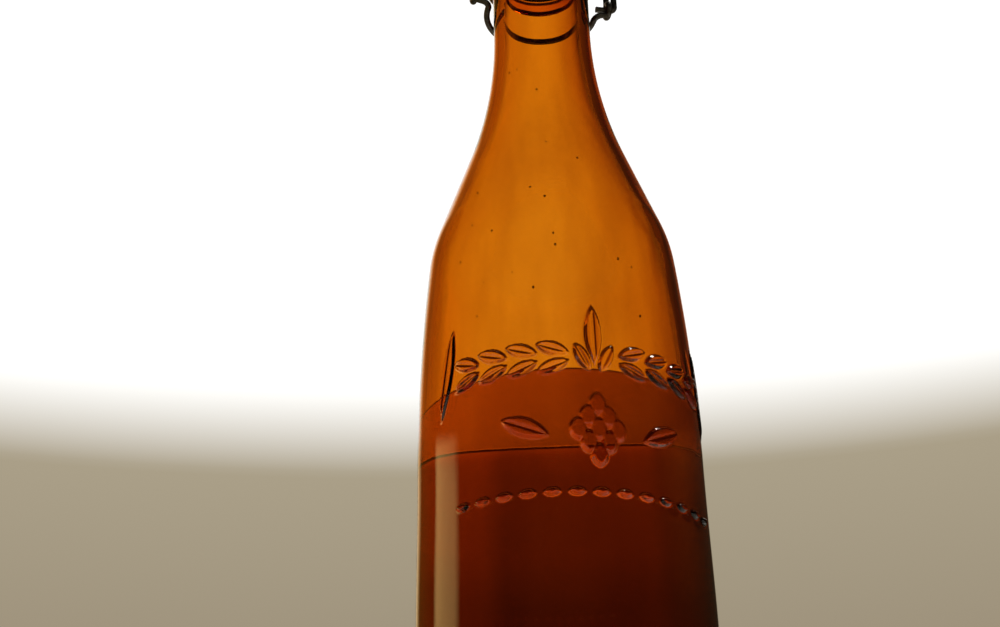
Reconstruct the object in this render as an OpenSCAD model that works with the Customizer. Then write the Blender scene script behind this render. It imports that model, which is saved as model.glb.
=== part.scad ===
// Swing-top beer bottle: amber glass, part filled, with a wire closure and a porcelain stopper.
// Z is the bottle's own axis and z = 0 is the ring it stands on. The ornament faces -Y,
// the closure's pivots lie on the X axis, and the lever hangs behind the neck on the +Y side.

/* [Bottle] */
// Height of the glass, from the foot to the top of the lip; the straight body takes up any change
bottle_h = 262; // [218:1:330]
// Outer diameter of the body
body_d = 70; // [58:0.5:84]
// How much smaller the radius of the label panel is than the body's
panel_in = 0.45; // [0:0.05:1]
// Thickness of the side wall in the body
wall_t = 2.8; // [2.4:0.1:4]
// Thickness of the base
base_t = 5; // [3:0.5:8]
// Height of the push-up under the base
push_up = 3; // [1:0.5:5]
// Radius of the rounded heel
heel_r = 7; // [4:0.5:10]
// Outer diameter of the neck
neck_d = 26.8; // [22.3:0.1:32.2]
// Thickness of the wall in the neck
neck_wall_t = 2.9; // [2.6:0.1:4.4]
// Diameter of the bore in the lip
bore_d = 17.4; // [14:0.1:18]
// Length of the straight neck under the collar
neck_l = 16.36; // [12:0.01:30]

/* [Shoulder] */
// Radius of the long curve of the tapering body
taper_r = 546; // [450:1:650]
// Slope that the tapering body ends with, in degrees off the vertical
taper_deg = 5.94; // [5:0.01:7]
// Radius of the shoulder
shoulder_r = 41.8; // [34:0.1:50]
// Slope of the straight part of the shoulder, in degrees off the vertical
shoulder_deg = 19.84; // [18:0.01:22]
// Radius of the hollow curve from the shoulder into the neck
neck_curve_r = 132.3; // [110:0.1:150]

/* [Finish] */
// How far the collar under the neckband stands out from the neck
collar_out = 2.6; // [2:0.1:4]
// Height of the collar
collar_h = 4.5; // [3.6:0.1:6]
// How much less the radius is in the groove that holds the neckband than on the neck
groove_in = 0.2; // [0:0.1:0.6]
// Height of that groove
groove_h = 3.4; // [2.6:0.1:4]
// How far the lip stands out from the neck
lip_out = 0.6; // [0:0.1:2]
// Height of the lip
lip_h = 14; // [11:0.5:17]
// Radius of the rounded edges of the collar and the lip
edge_r = 1.8; // [0.5:0.1:1.8]

/* [Beer] */
// Height of the beer above the foot
beer_level = 104; // [30:1:140]
// Gap between the beer and the glass
beer_gap = 0.05; // [0.02:0.01:0.2]

/* [Relief] */
// How far the ornament stands out of the glass
relief_t = 0.7; // [0.4:0.1:1]
// Distance from the start of the taper up to the middle of the two barley ears
ear_up = 16; // [14:0.5:20]
// Number of pairs of grains in each ear
ear_pairs = 4; // [3:1:5]
// Length of a grain
grain_l = 7.6; // [6:0.1:8]
// Width of a grain
grain_w = 3.1; // [2.4:0.1:3.6]
// Distance from the start of the taper down to the middle of the hop cone
hop_down = 2; // [1:0.5:3]
// Size of a scale of the hop cone
hop_scale = 4.2; // [3:0.1:4.4]
// Distance from the start of the taper down to the row of lozenges
lozenge_down = 17; // [15:0.5:22]
// Number of lozenges
lozenges = 13; // [5:2:17]

/* [Closure] */
// Diameter of the wire
wire_d = 1.7; // [1.4:0.1:2]
// Extra radius of the wire in its eyes, where it is bent tight
eye_swell = 0.07; // [0.05:0.01:0.15]
// Radial clearance of a pin in its eye
pin_clear = 0.1; // [0.05:0.01:0.1]
// Gap between neighbouring wires, and between the neckband and the collar
wire_gap = 0.3; // [0.2:0.05:0.6]
// Distance from the lever's pivot down to the bail's pivot
crank = 12; // [10:0.5:14]
// How far the bail's pivot has passed the centre line when shut
over_centre = 0.6; // [0.3:0.1:1]
// Radius of the lever's loop behind the neck
lever_r = 15.2; // [14.6:0.1:16]
// Distance from the bail's pivot down to the lever's loop
lever_drop = 3.7; // [3.4:0.1:6]
// Height of the stopper's pivot above the lip
pivot_up = 9; // [7:0.5:12]

/* [Stopper] */
// Diameter of the porcelain head
head_d = 26; // [22:0.5:30]
// Height of the porcelain head above the gasket
head_h = 12.5; // [11:0.5:16]
// Diameter of the nose that carries the gasket
nose_d = 11; // [8:0.5:12]
// Diameter of the gasket
gasket_d = 25; // [20:0.5:27]
// Thickness of the gasket above the lip
gasket_t = 3.4; // [2:0.1:5]
// How deep the gasket's collar reaches into the bore
gasket_in = 1.5; // [1:0.1:2.5]
// Gap between the gasket and the lip
seal_gap = 0.15; // [0.1:0.01:0.3]

/* [Hidden] */
$fn = 96;

body_r = body_d / 2;
panel_r = body_r - panel_in;
neck_r = neck_d / 2;
bore_r = bore_d / 2;
foot_r = body_r - heel_r;
push_r = foot_r - 5; // the foot ring's inner radius
relief_root = 1; // how deep the ornament starts inside the wall

// The finish, from the lip down to the straight neck.
collar_r = neck_r + collar_out;
groove_r = neck_r - groove_in;
lip_r = neck_r + lip_out;
lip_z = bottle_h - lip_h;
groove_z = lip_z - groove_h;
collar_z = groove_z - collar_h;
neck_z = collar_z - neck_l;

// The outline of the glass is a chain of arcs, each tangent to the next. Their heights add up
// from the start of the taper to the neck, so the taper starts that far below the neck.
taper_h = taper_r * sin(taper_deg);
shoulder_h = shoulder_r * (sin(shoulder_deg) - sin(taper_deg));
taper_end_r = panel_r - taper_r * (1 - cos(taper_deg));
cone_r = taper_end_r - shoulder_r * (cos(taper_deg) - cos(shoulder_deg));
cone_end_r = neck_r + neck_curve_r * (1 - cos(shoulder_deg));
cone_end_z = neck_z - neck_curve_r * sin(shoulder_deg);
cone_z = cone_end_z - (cone_r - cone_end_r) / tan(shoulder_deg);
taper_end_z = cone_z - shoulder_h;
taper_z = taper_end_z - taper_h;
shoulder_cz = taper_end_z - shoulder_r * sin(taper_deg);
blend_h = (taper_z - heel_r) / 2; // height over which the body narrows to the label panel
panel_z = taper_z - blend_h;
ear_z = taper_z + ear_up;
hop_z = taper_z - hop_down;
lozenge_z = taper_z - lozenge_down;

function outer_r(z) =
    z < heel_r ? foot_r + sqrt(heel_r ^ 2 - (heel_r - z) ^ 2) :
    z < panel_z ? body_r :
    z < panel_z + blend_h ? body_r - panel_in * (1 - cos(180 * (z - panel_z) / blend_h)) / 2 :
    z < taper_z ? panel_r :
    z < taper_end_z ? panel_r - taper_r + sqrt(taper_r ^ 2 - (z - taper_z) ^ 2) :
    z < cone_z ? cone_r + shoulder_r * (cos(asin((z - shoulder_cz) / shoulder_r)) - cos(shoulder_deg)) :
    z < cone_end_z ? cone_r - (z - cone_z) * tan(shoulder_deg) :
    z < neck_z ? neck_r + neck_curve_r - sqrt(neck_curve_r ^ 2 - (neck_z - z) ^ 2) :
    neck_r;

// The wall thickens evenly from the body to the neck.
function wall(z) =
    let (u = min(max((z - cone_z) / (neck_z - cone_z), 0), 1))
    wall_t * (1 - u) + neck_wall_t * u;
function inner_r(z) = outer_r(z) - wall(z);

function steps(a, b, n) = [for (i = [0 : n]) a + (b - a) * i / n];
function arc(cr, cz, r, a, b, n) = [for (t = steps(a, b, n)) [cr + r * cos(t), cz + r * sin(t)]];

// Heights at which the outline has a corner or a point of a curve.
side_z = concat(
    steps(panel_z, panel_z + blend_h, 6),
    steps(taper_z, taper_end_z, 7),
    [cone_z],
    [for (u = steps(0.2, 0.8, 3)) taper_end_z + (cone_z - taper_end_z) * u],
    [cone_end_z],
    [for (u = steps(0.12, 1, 8)) cone_end_z + (neck_z - cone_end_z) * u]
);
function sorted(v) = len(v) <= 1 ? v :
    let (p = v[floor(len(v) / 2)])
    concat(sorted([for (x = v) if (x < p) x]), [p], sorted([for (x = v) if (x > p) x]));
wall_z = sorted(side_z);

inner_heel_r = 6; // radius of the corner between the base and the wall, inside
inner_foot_r = inner_r(panel_z) - inner_heel_r;
inside = concat(
    [[inner_foot_r, base_t]],
    arc(inner_foot_r, base_t + inner_heel_r, inner_heel_r, -72, 0, 4),
    [for (z = wall_z) [inner_r(z), z]],
    [[inner_r(neck_z), collar_z], [bore_r, groove_z]] // the bore narrows inside the collar
);

function bead(z, h, r, e) = concat(
    arc(r - e, z + e, e, -90, 0, 5),
    arc(r - e, z + h - e, e, 0, 90, 5)
);

outside = concat(
    arc(foot_r, heel_r, heel_r, -90, 0, 7),
    [for (z = wall_z) [outer_r(z), z]],
    [[neck_r, collar_z]],
    bead(collar_z, collar_h, collar_r, edge_r),
    [[groove_r, groove_z], [groove_r, lip_z]],
    bead(lip_z, lip_h, lip_r, edge_r)
);

// Places of the closure.
wire_r = wire_d / 2;
eye_wire_r = wire_r + eye_swell;
eye_r = wire_r + pin_clear + eye_wire_r;
band_z = groove_z + groove_h / 2;
band_r = groove_r + pin_clear + wire_r;
eye_x = max(collar_r, lip_r) + wire_gap + eye_wire_r;
lever_x = eye_x + eye_wire_r + wire_gap + wire_r;
bail_x = lever_x + eye_wire_r + wire_gap + wire_r;
link_y = -over_centre;
link_z = band_z - crank;
stopper_z = bottle_h + pivot_up;
loop_z = link_z - lever_drop;
loop_r = max(lever_r, neck_r + wire_gap + wire_r);
pin_bend = 1.6; // bend radius of the wire beside its pins
bead_swell = 0.04; // how much a bead on the wire stands proud
bead_gap = 0.05; // end of a straight to the middle of its bead
gasket_z = bottle_h + seal_gap;
head_z = gasket_z + gasket_t;
arm_clear = 2.4; // from the wire beside the stopper's head to where its arm turns in
arm_in_x = head_d / 2 + wire_gap + wire_r + arm_clear;
arm_bend = 5; // bend radius of the bail's arms
leg_shift = 0.6; // how far the lever's legs meet its eyes off their middle
leg_sink = 0.1; // how deep those legs end in the eyes' wire

function unit(v) = v / norm(v);
function cut(d1, d2, bend_r) = bend_r * tan(acos(d1 * d2) / 2);

module rod(a, b, r) {
    d = b - a;
    translate(a)
        rotate([0, acos(d.z / norm(d)), atan2(d.y, d.x)])
            cylinder(h = norm(d), r = r);
}

// A round bend of the wire at corner p, from direction d1 to direction d2.
module bend(p, d1, d2, bend_r, r) {
    x = -unit(d2 - (d1 * d2) * d1);
    z = cross(x, d1);
    c = p - cut(d1, d2, bend_r) * d1 - bend_r * x;
    multmatrix([[x.x, d1.x, z.x, c.x], [x.y, d1.y, z.y, c.y], [x.z, d1.z, z.z, c.z], [0, 0, 0, 1]])
        rotate_extrude(angle = acos(d1 * d2))
            translate([bend_r, 0]) circle(r);
}

// A wire through the points, with a bend radius at each point between the ends.
// A bead a hair thicker than the wire joins each straight to its bend.
module wire(points, bends, r) {
    last = len(points) - 1;
    dirs = [for (i = [0 : last - 1]) unit(points[i + 1] - points[i])];
    cuts = [for (i = [0 : last]) i == 0 || i == last ? 0 : cut(dirs[i - 1], dirs[i], bends[i - 1])];
    for (i = [0 : last - 1]) {
        start = points[i] + (cuts[i] + (i == 0 ? 0 : bead_gap)) * dirs[i];
        end = points[i + 1] - (cuts[i + 1] + (i == last - 1 ? 0 : bead_gap)) * dirs[i];
        rod(start, end, r);
    }
    for (i = [1 : last - 1]) {
        bend(points[i], dirs[i - 1], dirs[i], bends[i - 1], r);
        translate(points[i] - cuts[i] * dirs[i - 1]) sphere(r + bead_swell);
        translate(points[i] + cuts[i] * dirs[i]) sphere(r + bead_swell);
    }
}

// A ring of wire with its axis along X.
module eye(p) {
    translate(p) rotate([0, 90, 0])
        rotate_extrude() translate([eye_r, 0]) circle(eye_wire_r);
}

module both_sides() {
    children();
    mirror([1, 0, 0]) children();
}

// A flat shape raised on the glass, across mm round from the front and at height z.
module raised(across, z) {
    r = outer_r(z);
    rotate([0, 0, across / r * 180 / PI])
        translate([0, relief_root - r, z])
            rotate([90, 0, 0])
                linear_extrude(relief_root + relief_t) children();
}

// A pointed oval of length l and width w, lying along X.
module oval(l, w) {
    r = (l ^ 2 + w ^ 2) / (4 * w);
    half = asin(l / 2 / r);
    polygon(concat(
        [for (t = steps(-half, half, 4)) [r * sin(t), r * cos(t) - r + w / 2]],
        [for (t = steps(half, -half, 4)) if (abs(t) < half) [r * sin(t), r - w / 2 - r * cos(t)]]
    ));
}

// Two ears of barley that grow outwards from three upright leaves, each ending in a tall leaf.
module barley() {
    pitch = grain_l * 0.95;
    ear_start = grain_l * 0.8;
    for (way = [-1, 1]) {
        for (i = [0 : ear_pairs - 1], side = [-1, 1])
            raised(way * (ear_start + pitch * (i + 0.5)), ear_z + side * grain_w * 0.75)
                rotate(way * side * 20) oval(grain_l, grain_w);
        raised(way * (ear_start + pitch * (ear_pairs + 0.4)), ear_z + 2)
            rotate(90 + way * 12) oval(grain_l * 3, grain_w * 1.25);
        raised(way * grain_w * 0.9, ear_z) rotate(90 - way * 25) oval(grain_l, grain_w * 0.9);
    }
    raised(0, ear_z + grain_l * 0.8) rotate(90) oval(grain_l * 2, grain_w * 1.2);
}

// A hop cone of staggered scales under the ears, with a leaf on each side.
module hop() {
    rows = [1, 2, 3, 2, 1];
    for (j = [0 : len(rows) - 1], i = [0 : rows[j] - 1])
        raised((i - (rows[j] - 1) / 2) * hop_scale * 1.1, hop_z + (2 - j) * hop_scale * 0.75)
            rotate(90) oval(hop_scale * 1.25, hop_scale * 0.85);
    for (way = [-1, 1])
        raised(way * hop_scale * 4, hop_z + 1)
            rotate(way * 25) oval(hop_scale * 2.8, hop_scale);
}

module lozenge_row() {
    pitch = 5.5;
    for (i = [0 : lozenges - 1])
        raised((i - (lozenges - 1) / 2) * pitch, lozenge_z) oval(3.4, 1.6);
}

module bottle() {
    color("#a85a10") {
        difference() {
            rotate_extrude()
                polygon(concat(
                    [[0, push_up], [push_r * 0.6, push_up * 0.8]],
                    [[push_r * 0.9, push_up * 0.3], [push_r, 0]],
                    outside,
                    [[0, bottle_h]]
                ));
            rotate_extrude()
                polygon(concat(
                    [[0, base_t + push_up * 0.5]],
                    inside,
                    [[bore_r, bottle_h + 1], [0, bottle_h + 1]]
                ));
        }
        barley();
        hop();
        lozenge_row();
    }
}

module beer() {
    below = [for (p = inside) if (p.y < beer_level - 0.5) [p.x - beer_gap, p.y + beer_gap]];
    color("#5c2003")
    rotate_extrude()
        polygon(concat(
            [[0, base_t + push_up * 0.5 + beer_gap]],
            below,
            [[inner_r(beer_level) - beer_gap, beer_level], [0, beer_level]]
        ));
}

// A ring of wire in the groove, drawn out at each side to an eye for the lever.
module neckband() {
    leg_r = wire_r - eye_swell;
    leg_x = sqrt(band_r ^ 2 - eye_r ^ 2);
    color("#2a2a26") {
        translate([0, 0, band_z])
            rotate_extrude() translate([band_r, 0]) circle(wire_r);
        both_sides() {
            eye([eye_x, 0, band_z]);
            for (side = [-1, 1])
                rod([leg_x, side * eye_r, band_z], [eye_x, side * eye_r, band_z], leg_r);
        }
    }
}

// The lever: pins in the neckband's eyes, an eye for the bail on each side, and a loop behind the neck.
module lever() {
    pin_end = band_r + wire_r + wire_gap;
    leg = [lever_x, link_y - leg_shift, link_z - eye_r + leg_sink];
    far_leg = [-leg.x, leg.y, leg.z];
    knee = [loop_r, leg.y - 1.2, loop_z];
    loop_bend = loop_r - 0.3; // leaves a short straight behind the neck
    color("#2a2a26") {
        both_sides() {
            wire([
                [pin_end, 0, band_z],
                [lever_x, 0, band_z],
                [lever_x, link_y + leg_shift, link_z + eye_r]
            ], [pin_bend], wire_r);
            eye([lever_x, link_y, link_z]);
        }
        wire([
            leg,
            knee,
            [loop_r, loop_r, loop_z],
            [-loop_r, loop_r, loop_z],
            [-loop_r, knee.y, loop_z],
            far_leg
        ], [pin_bend, loop_bend, loop_bend, pin_bend], wire_r);
    }
}

// The bail: pins in the lever's eyes, an arm up each side, and a bar through the stopper.
module bail() {
    pin_end = collar_r - 0.1; // just inside the collar's rim, below it
    arm_z = band_z + eye_r + eye_wire_r + 2; // the arms start to lean in above the eyes
    arm_y = link_y * (stopper_z - arm_z) / (stopper_z - link_z);
    color("#2a2a26")
    wire([
        [pin_end, link_y, link_z],
        [bail_x, link_y, link_z],
        [bail_x, arm_y, arm_z],
        [arm_in_x, 0, stopper_z],
        [-arm_in_x, 0, stopper_z],
        [-bail_x, arm_y, arm_z],
        [-bail_x, link_y, link_z],
        [-pin_end, link_y, link_z]
    ], [pin_bend, arm_bend, pin_bend, pin_bend, arm_bend, pin_bend], wire_r);
}

// The porcelain stopper: a domed head over a nose that holds the gasket.
module stopper() {
    head_r = head_d / 2;
    nose_r = nose_d / 2;
    tip_r = nose_r + 0.8; // the flange under the gasket
    tip_z = gasket_z - gasket_in - 2.2;
    dome_r = 4; // how far in the head's rounded top starts
    rim_r = 0.8; // radius of the head's lower edge
    color("#e8e4d8")
    difference() {
        rotate_extrude()
            polygon(concat(
                [[0, tip_z]],
                arc(tip_r - 1, tip_z + 1, 1, -90, 0, 4),
                [[tip_r, gasket_z - gasket_in], [nose_r, gasket_z - gasket_in], [nose_r, head_z]],
                arc(head_r - rim_r, head_z + rim_r, rim_r, -90, 0, 4),
                [[head_r, head_z + dome_r]],
                [for (t = steps(8, 82, 8))
                    [head_r - dome_r + dome_r * cos(t), head_z + dome_r + (head_h - dome_r - 1) * sin(t)]],
                [[0, head_z + head_h]]
            ));
        translate([0, 0, stopper_z]) rotate([0, 90, 0])
            cylinder(h = 2 * head_d, r = wire_r + pin_clear, center = true);
    }
}

module gasket() {
    hole_r = nose_d / 2 + pin_clear;
    plug_r = bore_r - 1;
    color("#b5482a")
    rotate_extrude()
        polygon(concat(
            [[hole_r, gasket_z - gasket_in], [plug_r - 0.4, gasket_z - gasket_in], [plug_r, gasket_z]],
            arc(gasket_d / 2 - 0.6, gasket_z + 0.6, 0.6, -90, 0, 3),
            [[gasket_d / 2 - 0.6, head_z], [hole_r, head_z]]
        ));
}

bottle();
beer();
neckband();
lever();
bail();
stopper();
gasket();
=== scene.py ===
import math
import random

import bmesh
import bpy
from mathutils import Matrix, Vector


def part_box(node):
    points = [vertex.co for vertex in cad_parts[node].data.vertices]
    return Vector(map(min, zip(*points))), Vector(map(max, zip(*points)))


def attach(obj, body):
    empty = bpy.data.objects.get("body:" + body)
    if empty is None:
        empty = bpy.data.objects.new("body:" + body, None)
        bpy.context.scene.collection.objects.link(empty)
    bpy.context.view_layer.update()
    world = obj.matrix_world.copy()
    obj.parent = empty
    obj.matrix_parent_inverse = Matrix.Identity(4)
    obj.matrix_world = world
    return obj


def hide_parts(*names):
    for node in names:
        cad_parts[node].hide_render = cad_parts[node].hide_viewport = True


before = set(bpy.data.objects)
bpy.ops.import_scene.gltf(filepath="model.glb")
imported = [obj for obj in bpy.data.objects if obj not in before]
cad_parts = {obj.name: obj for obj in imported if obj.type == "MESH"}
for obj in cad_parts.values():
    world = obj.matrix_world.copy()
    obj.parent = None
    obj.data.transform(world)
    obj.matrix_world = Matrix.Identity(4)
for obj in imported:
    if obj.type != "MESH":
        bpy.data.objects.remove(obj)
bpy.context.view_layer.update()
print("frame loaded:", sorted(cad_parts))

# Every length is in metres, in the part's own frame.
glass = {
    "height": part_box("bottle")[1].z,
    "bodyRadius": 0.035,
    "panelRadius": 0.03455,
    "panelStart": 0.0485,
    "panelBlend": 0.0415,
    "taperStart": 0.090,
    "taperRadius": 0.546,
    "taperAngle": math.radians(5.94),
    "shoulderRadius": 0.0418,
    "shoulderAngle": math.radians(19.84),
    "neckCurveRadius": 0.1323,
    "neckRadius": 0.0134,
    "boreRadius": 0.0087,
    "wall": 0.0026,
    "neckWall": 0.0027,
    "base": 0.005,
    "insideCorner": 0.006,  # radius between the base and the wall, inside
    "pushUp": 0.003,
    "footWidth": 0.005,     # of the ring it stands on
    "heelRadius": 0.007,
    "collarRadius": 0.016,
    "collarHeight": 0.0045,
    "grooveRadius": 0.0132,
    "grooveHeight": 0.0034,
    "lipRadius": 0.014,
    "lipHeight": 0.014,
    "edgeRadius": 0.0018,
    "mouthRadius": 0.0012,  # the rounded inner edge of the lip
    "frontReach": math.radians(92),  # the part of the round, each way, with close columns
    "frontColumns": 360,
    "backColumns": 90,
    "fineStep": 0.00032,    # spacing of the mesh under the ornament
    "coarseStep": 0.003,
    "neckStep": 0.002,
    "bendStep": 0.0012,
}

# The ornament: two ears of barley, upright leaves, a hop cone and a row of lozenges.
ornament = {
    "lowest": 0.0695,
    "highest": 0.1205,
    "height": 0.0008,
    "soft": 0.00045,        # width of the rounded flank of a raised shape
    "vein": 0.00028,        # width of the crease down a leaf
    "veinDepth": 0.55,      # share of the height
    "earHeight": 0.106,
    "earPairs": 4,
    "endLeaf": 0.6,         # share of the height that the upright leaf at each end has
    "grainLength": 0.0076,
    "grainWidth": 0.0031,
    "hopHeight": 0.088,
    "hopScale": 0.0042,
    "hopRows": (1, 2, 3, 2, 1),
    "lozengeHeight": 0.073,
    "lozenges": 13,
    "lozengePitch": 0.0055,
    "lozengeLength": 0.0034,
    "lozengeWidth": 0.0016,
}


# Heights and radii where the arcs of the outline meet.
def chain(g):
    c = {}
    c["taperEnd"] = g["taperStart"] + g["taperRadius"] * math.sin(g["taperAngle"])
    c["taperEndRadius"] = g["panelRadius"] - g["taperRadius"] * (1 - math.cos(g["taperAngle"]))
    c["shoulderMiddle"] = c["taperEnd"] - g["shoulderRadius"] * math.sin(g["taperAngle"])
    c["cone"] = c["shoulderMiddle"] + g["shoulderRadius"] * math.sin(g["shoulderAngle"])
    c["coneRadius"] = c["taperEndRadius"] - g["shoulderRadius"] * (
        math.cos(g["taperAngle"]) - math.cos(g["shoulderAngle"]))
    c["coneEndRadius"] = g["neckRadius"] + g["neckCurveRadius"] * (1 - math.cos(g["shoulderAngle"]))
    c["coneEnd"] = c["cone"] + (c["coneRadius"] - c["coneEndRadius"]) / math.tan(g["shoulderAngle"])
    c["neck"] = c["coneEnd"] + g["neckCurveRadius"] * math.sin(g["shoulderAngle"])
    return c


joint = chain(glass)


def outerRadius(z):
    g, c = glass, joint
    if z < g["heelRadius"]:
        drop = g["heelRadius"] - z
        return g["bodyRadius"] - g["heelRadius"] + math.sqrt(max(g["heelRadius"] ** 2 - drop ** 2, 0))
    if z < g["panelStart"]:
        return g["bodyRadius"]
    if z < g["panelStart"] + g["panelBlend"]:
        turn = math.cos(math.pi * (z - g["panelStart"]) / g["panelBlend"])
        return g["bodyRadius"] - (g["bodyRadius"] - g["panelRadius"]) * (1 - turn) / 2
    if z < g["taperStart"]:
        return g["panelRadius"]
    if z < c["taperEnd"]:
        above = z - g["taperStart"]
        return g["panelRadius"] - g["taperRadius"] + math.sqrt(g["taperRadius"] ** 2 - above ** 2)
    if z < c["cone"]:
        above = z - c["shoulderMiddle"]
        return c["coneRadius"] + math.sqrt(g["shoulderRadius"] ** 2 - above ** 2) - (
            g["shoulderRadius"] * math.cos(g["shoulderAngle"]))
    if z < c["coneEnd"]:
        return c["coneRadius"] - (z - c["cone"]) * math.tan(g["shoulderAngle"])
    if z < c["neck"]:
        left = c["neck"] - z
        return g["neckRadius"] + g["neckCurveRadius"] - math.sqrt(g["neckCurveRadius"] ** 2 - left ** 2)
    return g["neckRadius"]


def smooth(share):
    return share * share * (3 - 2 * share)


def clamp(share):
    return min(max(share, 0), 1)


def wall(z):
    share = clamp((z - joint["cone"]) / (joint["neck"] - joint["cone"]))
    return glass["wall"] * (1 - share) + glass["neckWall"] * share


def innerRadius(z):
    return outerRadius(z) - wall(z)


def spread(low, high, step):
    count = max(1, round((high - low) / step))
    return [low + (high - low) * i / count for i in range(count + 1)]


def arc(r, z, size, start, end, steps):
    turns = [math.radians(start + (end - start) * i / steps) for i in range(steps + 1)]
    return [(r + size * math.cos(t), z + size * math.sin(t)) for t in turns]


def meshFrom(name, vertices, faces):
    mesh = bpy.data.meshes.new(name)
    mesh.from_pydata(vertices, [], faces)
    bm = bmesh.new()
    bm.from_mesh(mesh)
    bmesh.ops.remove_doubles(bm, verts=bm.verts, dist=1e-7)
    bmesh.ops.recalc_face_normals(bm, faces=bm.faces)
    bm.to_mesh(mesh)
    bm.free()
    for face in mesh.polygons:
        face.use_smooth = True
    piece = bpy.data.objects.new(name, mesh)
    bpy.context.scene.collection.objects.link(piece)
    return piece


# Turns an outline of (radius, height) points, whose ends lie on the axis. lift moves a point outwards.
def lathe(name, outline, angles, lift=None):
    vertices, rings, faces = [], [], []
    for r, z in outline:
        if r < 1e-9:
            rings.append([len(vertices)])
            vertices.append((0, 0, z))
            continue
        ring = []
        for a in angles:
            out = r + (lift(a, r, z) if lift else 0)
            ring.append(len(vertices))
            vertices.append((out * math.sin(a), -out * math.cos(a), z))
        rings.append(ring)
    for low, high in zip(rings, rings[1:]):
        for k in range(len(angles)):
            n = (k + 1) % len(angles)
            if len(low) == 1:
                faces.append((low[0], high[n], high[k]))
            elif len(high) == 1:
                faces.append((low[k], low[n], high[0]))
            else:
                faces.append((low[k], low[n], high[n], high[k]))
    return meshFrom(name, vertices, faces)


# Pointed ovals: place round from the front, height, turn, length, width, vein or not, share of the height.
def ornamentShapes(o):
    shapes = []
    length, width = o["grainLength"], o["grainWidth"]
    pitch = length * 0.95
    start = length * 0.8
    for way in (-1, 1):
        for i in range(o["earPairs"]):
            for side in (-1, 1):
                shapes.append((way * (start + pitch * (i + 0.5)), o["earHeight"] + side * width * 0.75,
                               math.radians(way * side * 20), length, width, True, 1))
        shapes.append((way * (start + pitch * (o["earPairs"] + 0.4)), o["earHeight"] + 0.002,
                       math.radians(90 + way * 12), length * 3, width * 1.25, True, o["endLeaf"]))
        shapes.append((way * width * 0.9, o["earHeight"],
                       math.radians(90 - way * 25), length, width * 0.9, True, 1))
    shapes.append((0, o["earHeight"] + length * 0.8, math.radians(90), length * 2, width * 1.2, True, 1))
    scale = o["hopScale"]
    for j, count in enumerate(o["hopRows"]):
        for i in range(count):
            shapes.append(((i - (count - 1) / 2) * scale * 1.1, o["hopHeight"] + (2 - j) * scale * 0.75,
                           math.radians(90), scale * 1.25, scale * 0.85, False, 1))
    for way in (-1, 1):
        shapes.append((way * scale * 4, o["hopHeight"] + 0.001,
                       math.radians(way * 25), scale * 2.8, scale, True, 1))
    for i in range(o["lozenges"]):
        shapes.append(((i - (o["lozenges"] - 1) / 2) * o["lozengePitch"], o["lozengeHeight"],
                       0, o["lozengeLength"], o["lozengeWidth"], False, 1))
    return shapes


shapes = ornamentShapes(ornament)


# How far (x, y) lies inside a pointed oval that lies along x.
def ovalDepth(x, y, length, width):
    r = (length ** 2 + width ** 2) / (4 * width)
    return r - math.hypot(x, abs(y) + r - width / 2)


# Height of the raised ornament at angle a from the front and height z.
def ornamentLift(a, z):
    across = a * outerRadius(z)
    best = 0
    for middle, height, turn, length, width, vein, tall in shapes:
        dx, dz = across - middle, z - height
        if abs(dx) > length or abs(dz) > length:
            continue
        x = dx * math.cos(turn) + dz * math.sin(turn)
        y = dz * math.cos(turn) - dx * math.sin(turn)
        depth = ovalDepth(x, y, length, width)
        if depth <= -ornament["soft"] / 2:
            continue
        lift = smooth(clamp(depth / ornament["soft"] + 0.5))
        if vein and depth > 0:
            lift *= 1 - ornament["veinDepth"] * math.exp(-(y / ornament["vein"]) ** 2)
        best = max(best, lift * tall)
    return best * ornament["height"]


# Angles from the front: close together under the ornament, wider apart round the back.
def glassAngles():
    reach, close, wide = glass["frontReach"], glass["frontColumns"], glass["backColumns"]
    front = [-reach + 2 * reach * i / close for i in range(close + 1)]
    back = [reach + (2 * math.pi - 2 * reach) * i / wide for i in range(1, wide)]
    return front + back


def glassHeights():
    low, high = ornament["lowest"], ornament["highest"]
    side = spread(glass["heelRadius"], low, glass["coarseStep"])
    side += spread(low, high, glass["fineStep"])[1:]
    side += spread(high, joint["taperEnd"], glass["coarseStep"])[1:]
    side += spread(joint["taperEnd"], joint["cone"], glass["bendStep"])[1:]
    side += spread(joint["cone"], joint["coneEnd"], glass["coarseStep"])[1:]
    side += spread(joint["coneEnd"], joint["neck"], glass["neckStep"])[1:]
    return side


def beadOutline(z, height, r):
    e = glass["edgeRadius"]
    return arc(r - e, z + e, e, -90, 0, 8) + arc(r - e, z + height - e, e, 0, 90, 8)


# The inner wall from the middle of the base up to a height.
def insideOutline(top):
    g = glass
    corner = g["insideCorner"]
    foot = innerRadius(g["panelStart"]) - corner
    line = [(0, g["base"] + g["pushUp"] * 0.5), (foot * 0.5, g["base"] + g["pushUp"] * 0.3)]
    line += [(foot, g["base"])] + arc(foot, g["base"] + corner, corner, -80, 0, 8)
    for z in spread(g["base"] + corner, joint["neck"], g["coarseStep"])[1:]:
        if z < top:
            line.append((innerRadius(z), z))
    return line


# The bore narrows inside the collar, in an even curve.
def boreOutline(collarLow, grooveLow):
    wide, narrow = glass["neckRadius"] - glass["neckWall"], glass["boreRadius"]
    return [(wide + (narrow - wide) * smooth(i / 8), collarLow + (grooveLow - collarLow) * i / 8)
            for i in range(9)]


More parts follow.
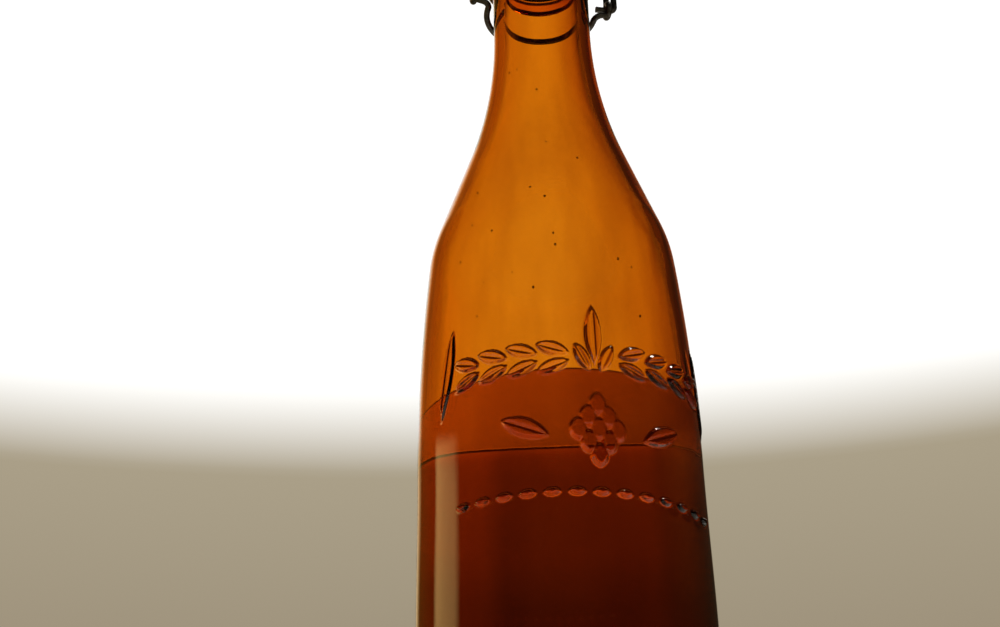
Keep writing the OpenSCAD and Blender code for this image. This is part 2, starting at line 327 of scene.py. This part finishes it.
def makeGlass():
    g = glass
    lipLow = g["height"] - g["lipHeight"]
    grooveLow = lipLow - g["grooveHeight"]
    collarLow = grooveLow - g["collarHeight"]
    foot = g["bodyRadius"] - g["heelRadius"]
    push = foot - g["footWidth"]
    outline = [(0, g["pushUp"])]
    outline += [(push * s, g["pushUp"] * (1 - s ** 3)) for s in (0.25, 0.5, 0.7, 0.85, 0.95)]
    outline += [(push, 0)] + arc(foot, g["heelRadius"], g["heelRadius"], -90, -8, 10)
    outline += [(outerRadius(z), z) for z in glassHeights()]
    outline += [(g["neckRadius"], collarLow - g["neckStep"]), (g["neckRadius"], collarLow)]
    outline += beadOutline(collarLow, g["collarHeight"], g["collarRadius"])
    outline += [(g["grooveRadius"], grooveLow), (g["grooveRadius"], lipLow)]
    outline += beadOutline(lipLow, g["lipHeight"], g["lipRadius"])
    mouth = g["mouthRadius"]
    outline += arc(g["boreRadius"] + mouth, g["height"] - mouth, mouth, 90, 180, 5)
    outline += reversed(insideOutline(g["height"]) + boreOutline(collarLow, grooveLow))

    def lift(a, r, z):
        turned = (a + math.pi) % (2 * math.pi) - math.pi
        inside = r < outerRadius(z) - glass["wall"] / 2
        if inside or not ornament["lowest"] < z < ornament["highest"]:
            return 0
        return ornamentLift(turned, z)

    return lathe("glass", outline, glassAngles(), lift)


seeds = {
    "count": 22,
    "seed": 7,
    "heights": (0.115, 0.205),
    "reach": 60,            # degrees each way from the front
    "sizes": (0.00012, 0.00032),
    "depths": (0.001, 0.0026),
    "longest": 1.8,         # height against width
}


# Small bubbles in the wall: closed skins that face their own hollow, as a hollow in glass does.
def addSeeds(piece, s):
    draw = random.Random(s["seed"])
    bm = bmesh.new()
    bm.from_mesh(piece.data)
    for _ in range(s["count"]):
        z = draw.uniform(*s["heights"])
        a = math.radians(draw.uniform(-s["reach"], s["reach"]))
        size = draw.uniform(*s["sizes"])
        r = outerRadius(z) - draw.uniform(*s["depths"])
        place = Matrix.Translation((r * math.sin(a), -r * math.cos(a), z))
        stretch = Matrix.Diagonal((1, 1, draw.uniform(1, s["longest"]), 1))
        new = bmesh.ops.create_icosphere(bm, subdivisions=2, radius=size, matrix=place @ stretch)
        skin = {f for v in new["verts"] for f in v.link_faces}
        bmesh.ops.reverse_faces(bm, faces=list(skin))
        for face in skin:
            face.smooth = True
    bm.to_mesh(piece.data)
    bm.free()


beer = {
    "level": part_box("beer")[1].z,
    "intoWall": 0.0001,     # how far the drink reaches into the glass
    "rim": 0.0005,          # width of the soft edge round the drink's surface
    "columns": 160,
    "ior": 1.34,
    "perMetre": (7, 20, 75),
}


def makeBeer():
    into, level, rim = beer["intoWall"], beer["level"], beer["rim"]
    inside = insideOutline(level - 0.001)
    bottom = glass["base"] + 0.004
    outline = [(0, inside[0][1] - into)]
    outline += [(r + into, z - (into if z < bottom else 0)) for r, z in inside[1:]]
    edge = innerRadius(level)
    outline += [(edge + into, level - rim), (edge + into, level), (edge - rim, level), (0, level)]
    angles = [2 * math.pi * i / beer["columns"] for i in range(beer["columns"])]
    return lathe("beerBody", outline, angles)


def newMaterial(name):
    material = bpy.data.materials.new(name)
    material.use_nodes = True
    tree = material.node_tree
    return material, tree, tree.nodes["Principled BSDF"]


def newNode(tree, kind, **values):
    made = tree.nodes.new(kind)
    for key, value in values.items():
        made.inputs[key.replace("_", " ")].default_value = value
    return made


# Noise on Object coordinates, or on those of another node's output.
def noise(tree, place, scale, detail, roughness=0.5):
    made = newNode(tree, "ShaderNodeTexNoise", Scale=scale, Detail=detail, Roughness=roughness)
    tree.links.new(place, made.inputs["Vector"])
    return made.outputs["Fac"]


# A colour ramp over (place, colour) stops.
def colourRamp(tree, source, stops):
    ramp = tree.nodes.new("ShaderNodeValToRGB")
    marks = ramp.color_ramp.elements
    while len(marks) < len(stops):
        marks.new(0.5)
    for mark, (place, colour) in zip(marks, stops):
        mark.position = place
        mark.color = (*colour, 1)
    tree.links.new(source, ramp.inputs["Fac"])
    return ramp.outputs["Color"]


def bumpUp(tree, shader, source, strength, distance):
    bump = newNode(tree, "ShaderNodeBump", Strength=strength, Distance=distance)
    tree.links.new(source, bump.inputs["Height"])
    tree.links.new(bump.outputs["Normal"], shader.inputs["Normal"])


# Colours the light by the length of its path: perMetre is the loss of red, green and blue.
def absorb(tree, perMetre):
    densest = max(perMetre)
    volume = tree.nodes.new("ShaderNodeVolumeAbsorption")
    volume.inputs["Color"].default_value = (*[1 - k / densest for k in perMetre], 1)
    volume.inputs["Density"].default_value = densest
    tree.links.new(volume.outputs["Volume"], tree.nodes["Material Output"].inputs["Volume"])


def clearMaterial(name, ior, roughness):
    material, tree, shader = newMaterial(name)
    shader.inputs["Base Color"].default_value = (1, 1, 1, 1)
    shader.inputs["Transmission Weight"].default_value = 1
    shader.inputs["IOR"].default_value = ior
    shader.inputs["Roughness"].default_value = roughness
    return material, tree, shader


amber = {
    "perMetre": (80, 312, 1050),
    "ior": 1.52,
    "roughness": 0.012,
    "waveSize": 38,
    "waveDepth": 0.0002,
    "waveStretch": (1, 1, 0.22),  # the waves of blown glass run up the bottle
    "dull": (0.80, 0.72, 0.7),
}


def amberGlass():
    material, tree, shader = clearMaterial("amberGlass", amber["ior"], amber["roughness"])
    place = tree.nodes.new("ShaderNodeTexCoord").outputs["Object"]
    stretch = newNode(tree, "ShaderNodeMapping", Scale=amber["waveStretch"])
    tree.links.new(place, stretch.inputs["Vector"])
    drawn = stretch.outputs["Vector"]
    waves = tree.nodes.new("ShaderNodeMath")
    waves.operation = "ADD"
    tree.links.new(noise(tree, drawn, amber["waveSize"] * 3, 2, 0.45), waves.inputs[0])
    tree.links.new(noise(tree, place, amber["waveSize"], 1), waves.inputs[1])
    bumpUp(tree, shader, waves.outputs["Value"], 0.35, amber["waveDepth"])
    # Dull patches, drawn out up the bottle.
    patch = noise(tree, drawn, amber["waveSize"] * 1.4, 3, 0.6)
    tint = colourRamp(tree, patch, [(0.42, (1, 1, 1)), (0.72, amber["dull"])])
    tree.links.new(tint, shader.inputs["Base Color"])
    absorb(tree, amber["perMetre"])
    return material


def beerLiquid():
    material, tree, shader = clearMaterial("beerLiquid", beer["ior"], 0)
    absorb(tree, beer["perMetre"])
    return material


# Steel wire with rust patches. Both tones are nearly black: painted shade, standing in for the darkness of
# the backlit wire.
wire = {
    "rustSize": 420,
    "dark": (0.045, 0.043, 0.036),
    "light": (0.15, 0.14, 0.12),
    "roughness": (0.3, 0.55),
}


def steelWire():
    material, tree, shader = newMaterial("steelWire")
    place = tree.nodes.new("ShaderNodeTexCoord").outputs["Object"]
    rust = noise(tree, place, wire["rustSize"], 5, 0.6)
    # Painted shade: the rust patches run between two nearly black tones.
    colour = colourRamp(tree, rust, [(0.42, wire["dark"]), (0.68, wire["light"])])
    tree.links.new(colour, shader.inputs["Base Color"])
    low, high = wire["roughness"]
    rough = newNode(tree, "ShaderNodeMapRange", From_Min=0.3, From_Max=0.7, To_Min=low, To_Max=high)
    tree.links.new(rust, rough.inputs["Value"])
    tree.links.new(rough.outputs["Result"], shader.inputs["Roughness"])
    shader.inputs["Metallic"].default_value = 1
    bumpUp(tree, shader, rust, 0.3, 0.00005)
    return material


china = {
    "cloudSize": 90,
    "dark": (0.72, 0.69, 0.61),
    "light": (0.82, 0.80, 0.74),
    "roughness": 0.16,
    "glaze": 0.6,
}


def porcelain():
    material, tree, shader = newMaterial("porcelain")
    place = tree.nodes.new("ShaderNodeTexCoord").outputs["Object"]
    cloud = noise(tree, place, china["cloudSize"], 3)
    colour = colourRamp(tree, cloud, [(0.3, china["dark"]), (0.7, china["light"])])
    tree.links.new(colour, shader.inputs["Base Color"])
    shader.inputs["Roughness"].default_value = china["roughness"]
    shader.inputs["Subsurface Weight"].default_value = 0.08
    shader.inputs["Coat Weight"].default_value = china["glaze"]
    shader.inputs["Coat Roughness"].default_value = 0.05
    bumpUp(tree, shader, cloud, 0.15, 0.0002)
    return material


rubber = {
    "grainSize": 900,
    "dark": (0.36, 0.06, 0.028),
    "light": (0.52, 0.11, 0.05),
    "roughness": 0.62,
}


def gasketRubber():
    material, tree, shader = newMaterial("gasketRubber")
    place = tree.nodes.new("ShaderNodeTexCoord").outputs["Object"]
    grain = noise(tree, place, rubber["grainSize"], 4)
    colour = colourRamp(tree, grain, [(0, rubber["dark"]), (1, rubber["light"])])
    tree.links.new(colour, shader.inputs["Base Color"])
    shader.inputs["Roughness"].default_value = rubber["roughness"]
    bumpUp(tree, shader, grain, 0.4, 0.00006)
    return material


def dress(piece, material):
    piece.data.materials.clear()
    piece.data.materials.append(material)


glassPiece = makeGlass()
addSeeds(glassPiece, seeds)
dress(glassPiece, amberGlass())
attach(glassPiece, "bottle")
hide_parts("bottle")
print("glass made:", len(glassPiece.data.polygons), "faces")

beerPiece = makeBeer()
dress(beerPiece, beerLiquid())
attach(beerPiece, "bottle")
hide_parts("beer")
print("beer made")

wireMaterial = steelWire()
for name in ("neckband", "lever", "bail"):
    dress(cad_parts[name], wireMaterial)
dress(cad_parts["stopper"], porcelain())
dress(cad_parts["gasket"], gasketRubber())
print("closure dressed")


# The camera stands below the foot of the bottle and looks up at it.
view = {
    "turn": math.radians(13),  # round towards -X from the front
    "distance": 0.38208,
    "height": -0.06749,
    "pitch": math.radians(28.03),
    "roll": -0.0249,
    "aside": -0.01362,
    "lens": 61.2,
    "sensor": 36,
}


def makeCamera(v):
    data = bpy.data.cameras.new("camera")
    camera = bpy.data.objects.new("camera", data)
    bpy.context.scene.collection.objects.link(camera)
    data.sensor_width = v["sensor"]
    data.lens = v["lens"]
    data.clip_start = 0.01
    ahead = Vector((0, math.cos(v["pitch"]), math.sin(v["pitch"])))
    side = Vector((1, 0, 0))
    up = side.cross(ahead)
    right = math.cos(v["roll"]) * side + math.sin(v["roll"]) * up
    top = math.cos(v["roll"]) * up - math.sin(v["roll"]) * side
    place = Matrix((right, top, -ahead)).transposed().to_4x4()
    place.translation = Vector((v["aside"], -v["distance"], v["height"]))
    camera.matrix_world = Matrix.Rotation(-v["turn"], 4, "Z") @ place
    bpy.context.scene.camera = camera


makeCamera(view)

# What surrounds the bottle, by degrees to the right of straight ahead: a bright window with dark
# frames, a wall on the left and a lit edge on the right.
gloom = (0.012, 0.01, 0.008)
sky = {
    "edge": 23.9,           # elevation of the roofline behind the window
    "blur": 0.9,
    "high": [(-180, gloom), (-112, gloom), (-95, (0.64, 0.48, 0.22)),
             (-38, (0.64, 0.48, 0.22)), (-31, (0.42, 0.30, 0.14)), (-26, (0.62, 0.50, 0.30)),
             (-20, (0.80, 0.74, 0.62)), (-16, (1.1, 1.08, 1.03)), (2, (1.1, 1.07, 1.02)),
             (10, (0.88, 0.74, 0.58)), (15.5, (0.74, 0.58, 0.38)), (19, (0.56, 0.40, 0.22)),
             (23, (0.36, 0.24, 0.11)), (27, (0.08, 0.045, 0.015)), (34, (0.07, 0.04, 0.012)),
             (42, (0.14, 0.085, 0.022)), (60, (0.18, 0.115, 0.035)), (95, (0.18, 0.115, 0.035)),
             (112, gloom), (180, gloom)],
    "low": [(-180, gloom), (-95, gloom), (-58, (0.05, 0.03, 0.01)),
            (-45, (0.03, 0.015, 0.004)), (-22, (0.16, 0.10, 0.03)), (-16, (0.25, 0.155, 0.09)),
            (13, (0.24, 0.15, 0.08)), (18, (0.40, 0.25, 0.10)), (30, (0.46, 0.28, 0.10)),
            (38, (0.58, 0.38, 0.10)), (66, (0.58, 0.38, 0.10)), (95, (0.10, 0.06, 0.02)),
            (112, gloom), (180, gloom)],
    # What the outside of the glass and the wire mirror, above and below the roofline.
    "mirrorHigh": [(-180, gloom), (-90, gloom), (-60, (0.03, 0.012, 0.002)),
                   (-31, (0.20, 0.08, 0.01)), (-24, (0.78, 0.52, 0.22)), (-16.5, (1, 0.97, 0.9)),
                   (15.5, (1, 0.97, 0.9)), (19, (0.06, 0.04, 0.02)), (40, (0.02, 0.012, 0.006)),
                   (180, gloom)],
    "mirrorLow": [(-180, gloom), (-92, gloom), (-85, (1.6, 1.10, 0.36)),
                  (-64, (1.9, 1.30, 0.42)), (-59, (0.08, 0.03, 0.004)), (-30, (0.10, 0.05, 0.006)),
                  (-22, (0.62, 0.40, 0.15)), (-14, (0.85, 0.62, 0.34)), (-10, (0.25, 0.2, 0.13)),
                  (13, (0.25, 0.2, 0.13)), (18, (0.03, 0.02, 0.01)), (180, gloom)],
    # How bright the part below the roofline is at some elevations.
    "shade": [(8, 0.25), (15, 0.35), (17.8, 0.5), (19.3, 0.85), (21.8, 1.0), (22.6, 1.5),
              (23.3, 2.4), (23.9, 3.0)],
    "ground": (0.62, 0.58, 0.52),
    # The backdrop that is seen straight on, by the height of the direction: pale, with painted shade in a
    # darker warm-grey band between the horizon and the roofline.
    "shadedBackdrop": [(0, (0.74, 0.72, 0.68)), (0.15, (0.60, 0.55, 0.47)), (0.27, (0.30, 0.25, 0.175)),
                 (0.385, (0.36, 0.31, 0.22)), (0.43, (0.97, 0.96, 0.93)), (0.55, (1, 1, 1))],
    "strength": 1.12,
}


# Mixes two colours, each a plain colour or a socket; share is a socket or a number.
def blend(tree, share, first, second, kind="MIX"):
    mix = tree.nodes.new("ShaderNodeMix")
    mix.data_type = "RGBA"
    mix.blend_type = kind
    for slot, value in ((0, share), (6, first), (7, second)):
        if isinstance(value, bpy.types.NodeSocket):
            tree.links.new(value, mix.inputs[slot])
        else:
            mix.inputs[slot].default_value = (*value, 1) if isinstance(value, tuple) else value
    return mix.outputs[2]


def heightOf(degrees):
    return math.sin(math.radians(degrees))


# 0 below one elevation and 1 above another, both in degrees; source is the height of a direction.
def rise(tree, source, low, high):
    step = newNode(tree, "ShaderNodeMapRange", From_Min=heightOf(low), From_Max=heightOf(high))
    step.interpolation_type = "SMOOTHSTEP"
    tree.links.new(source, step.inputs["Value"])
    return step.outputs["Result"]


def makeWorld(s):
    world = bpy.data.worlds.new("studio")
    bpy.context.scene.world = world
    world.use_nodes = True
    tree = world.node_tree
    tree.nodes.clear()
    place = tree.nodes.new("ShaderNodeTexCoord")
    turned = newNode(tree, "ShaderNodeVectorRotate", Angle=view["turn"])
    turned.rotation_type = "Z_AXIS"
    tree.links.new(place.outputs["Generated"], turned.inputs["Vector"])
    split = tree.nodes.new("ShaderNodeSeparateXYZ")
    tree.links.new(turned.outputs["Vector"], split.inputs["Vector"])
    height = split.outputs["Z"]
    bearing = tree.nodes.new("ShaderNodeMath")
    bearing.operation = "ARCTAN2"
    tree.links.new(split.outputs["X"], bearing.inputs[0])
    tree.links.new(split.outputs["Y"], bearing.inputs[1])
    share = newNode(tree, "ShaderNodeMapRange", From_Min=-math.pi, From_Max=math.pi)
    tree.links.new(bearing.outputs["Value"], share.inputs["Value"])
    bands = {name: colourRamp(tree, share.outputs["Result"], [((d + 180) / 360, c) for d, c in s[name]])
             for name in ("high", "low", "mirrorHigh", "mirrorLow")}
    ray = tree.nodes.new("ShaderNodeLightPath")
    glint = tree.nodes.new("ShaderNodeMath")
    glint.operation = "SUBTRACT"
    glint.use_clamp = True
    tree.links.new(ray.outputs["Is Reflection Ray"], glint.inputs[0])
    tree.links.new(ray.outputs["Is Diffuse Ray"], glint.inputs[1])
    roofline = rise(tree, height, s["edge"] - s["blur"], s["edge"] + s["blur"])
    mirrored = blend(tree, roofline, bands["mirrorLow"], bands["mirrorHigh"])
    dim = colourRamp(tree, height, [(heightOf(d), (v, v, v)) for d, v in s["shade"]])
    shaded = blend(tree, 1.0, bands["low"], dim, "MULTIPLY")
    room = blend(tree, roofline, shaded, bands["high"])
    room = blend(tree, glint.outputs["Value"], room, mirrored)
    # A pale ground behind the camera only, below the part of the room that the glass mirrors.
    near = newNode(tree, "ShaderNodeMapRange", From_Min=0.1, From_Max=-0.3)
    tree.links.new(split.outputs["Y"], near.inputs["Value"])
    under = blend(tree, near.outputs["Result"], room, s["ground"])
    room = blend(tree, rise(tree, height, 4, 12), under, room)
    # Seen by the camera only: the backdrop, with its band of painted shade below the roofline.
    shadedBackdrop = colourRamp(tree, height, s["shadedBackdrop"])
    light = newNode(tree, "ShaderNodeBackground", Strength=s["strength"])
    tree.links.new(blend(tree, ray.outputs["Is Camera Ray"], room, shadedBackdrop), light.inputs["Color"])
    out = tree.nodes.new("ShaderNodeOutputWorld")
    tree.links.new(light.outputs["Background"], out.inputs["Surface"])


makeWorld(sky)

lampValues = {
    "place": (0.15, 0.06, 0.55),
    "aim": (0.13, 0.09, 0),
    "spread": math.radians(46),
    "softness": 0.06,
    "power": 19,
}


def makeLamp(v):
    data = bpy.data.lights.new("overhead", "SPOT")
    data.spot_size = v["spread"]
    data.spot_blend = 1
    data.shadow_soft_size = v["softness"]
    data.energy = v["power"]
    lamp = bpy.data.objects.new("overhead", data)
    bpy.context.scene.collection.objects.link(lamp)
    lamp.location = v["place"]
    lamp.rotation_euler = (Vector(v["aim"]) - Vector(v["place"])).to_track_quat("-Z", "Y").to_euler()


makeLamp(lampValues)

floorValues = {
    "reach": 3,
    "colour": (0.74, 0.72, 0.68),
    "roughness": 0.7,
}


# Only the top of the floor shows: the camera looks up from below it.
def makeFloor(v):
    mesh = bpy.data.meshes.new("floor")
    reach = v["reach"]
    mesh.from_pydata([(-reach, -reach, 0), (reach, -reach, 0), (reach, reach, 0), (-reach, reach, 0)],
                     [], [(0, 1, 2, 3)])
    floor = bpy.data.objects.new("floor", mesh)
    bpy.context.scene.collection.objects.link(floor)
    material, tree, shader = newMaterial("paleFloor")
    shader.inputs["Base Color"].default_value = (*v["colour"], 1)
    shader.inputs["Roughness"].default_value = v["roughness"]
    face = tree.nodes.new("ShaderNodeNewGeometry")
    clear = tree.nodes.new("ShaderNodeBsdfTransparent")
    mix = tree.nodes.new("ShaderNodeMixShader")
    tree.links.new(face.outputs["Backfacing"], mix.inputs["Fac"])
    tree.links.new(shader.outputs["BSDF"], mix.inputs[1])
    tree.links.new(clear.outputs["BSDF"], mix.inputs[2])
    tree.links.new(mix.outputs["Shader"], tree.nodes["Material Output"].inputs["Surface"])
    dress(floor, material)


makeFloor(floorValues)

scene = bpy.context.scene
scene.view_settings.view_transform = "Standard"
scene.cycles.max_bounces = 24
scene.cycles.transmission_bounces = 24
scene.cycles.transparent_max_bounces = 24
print("stage made")
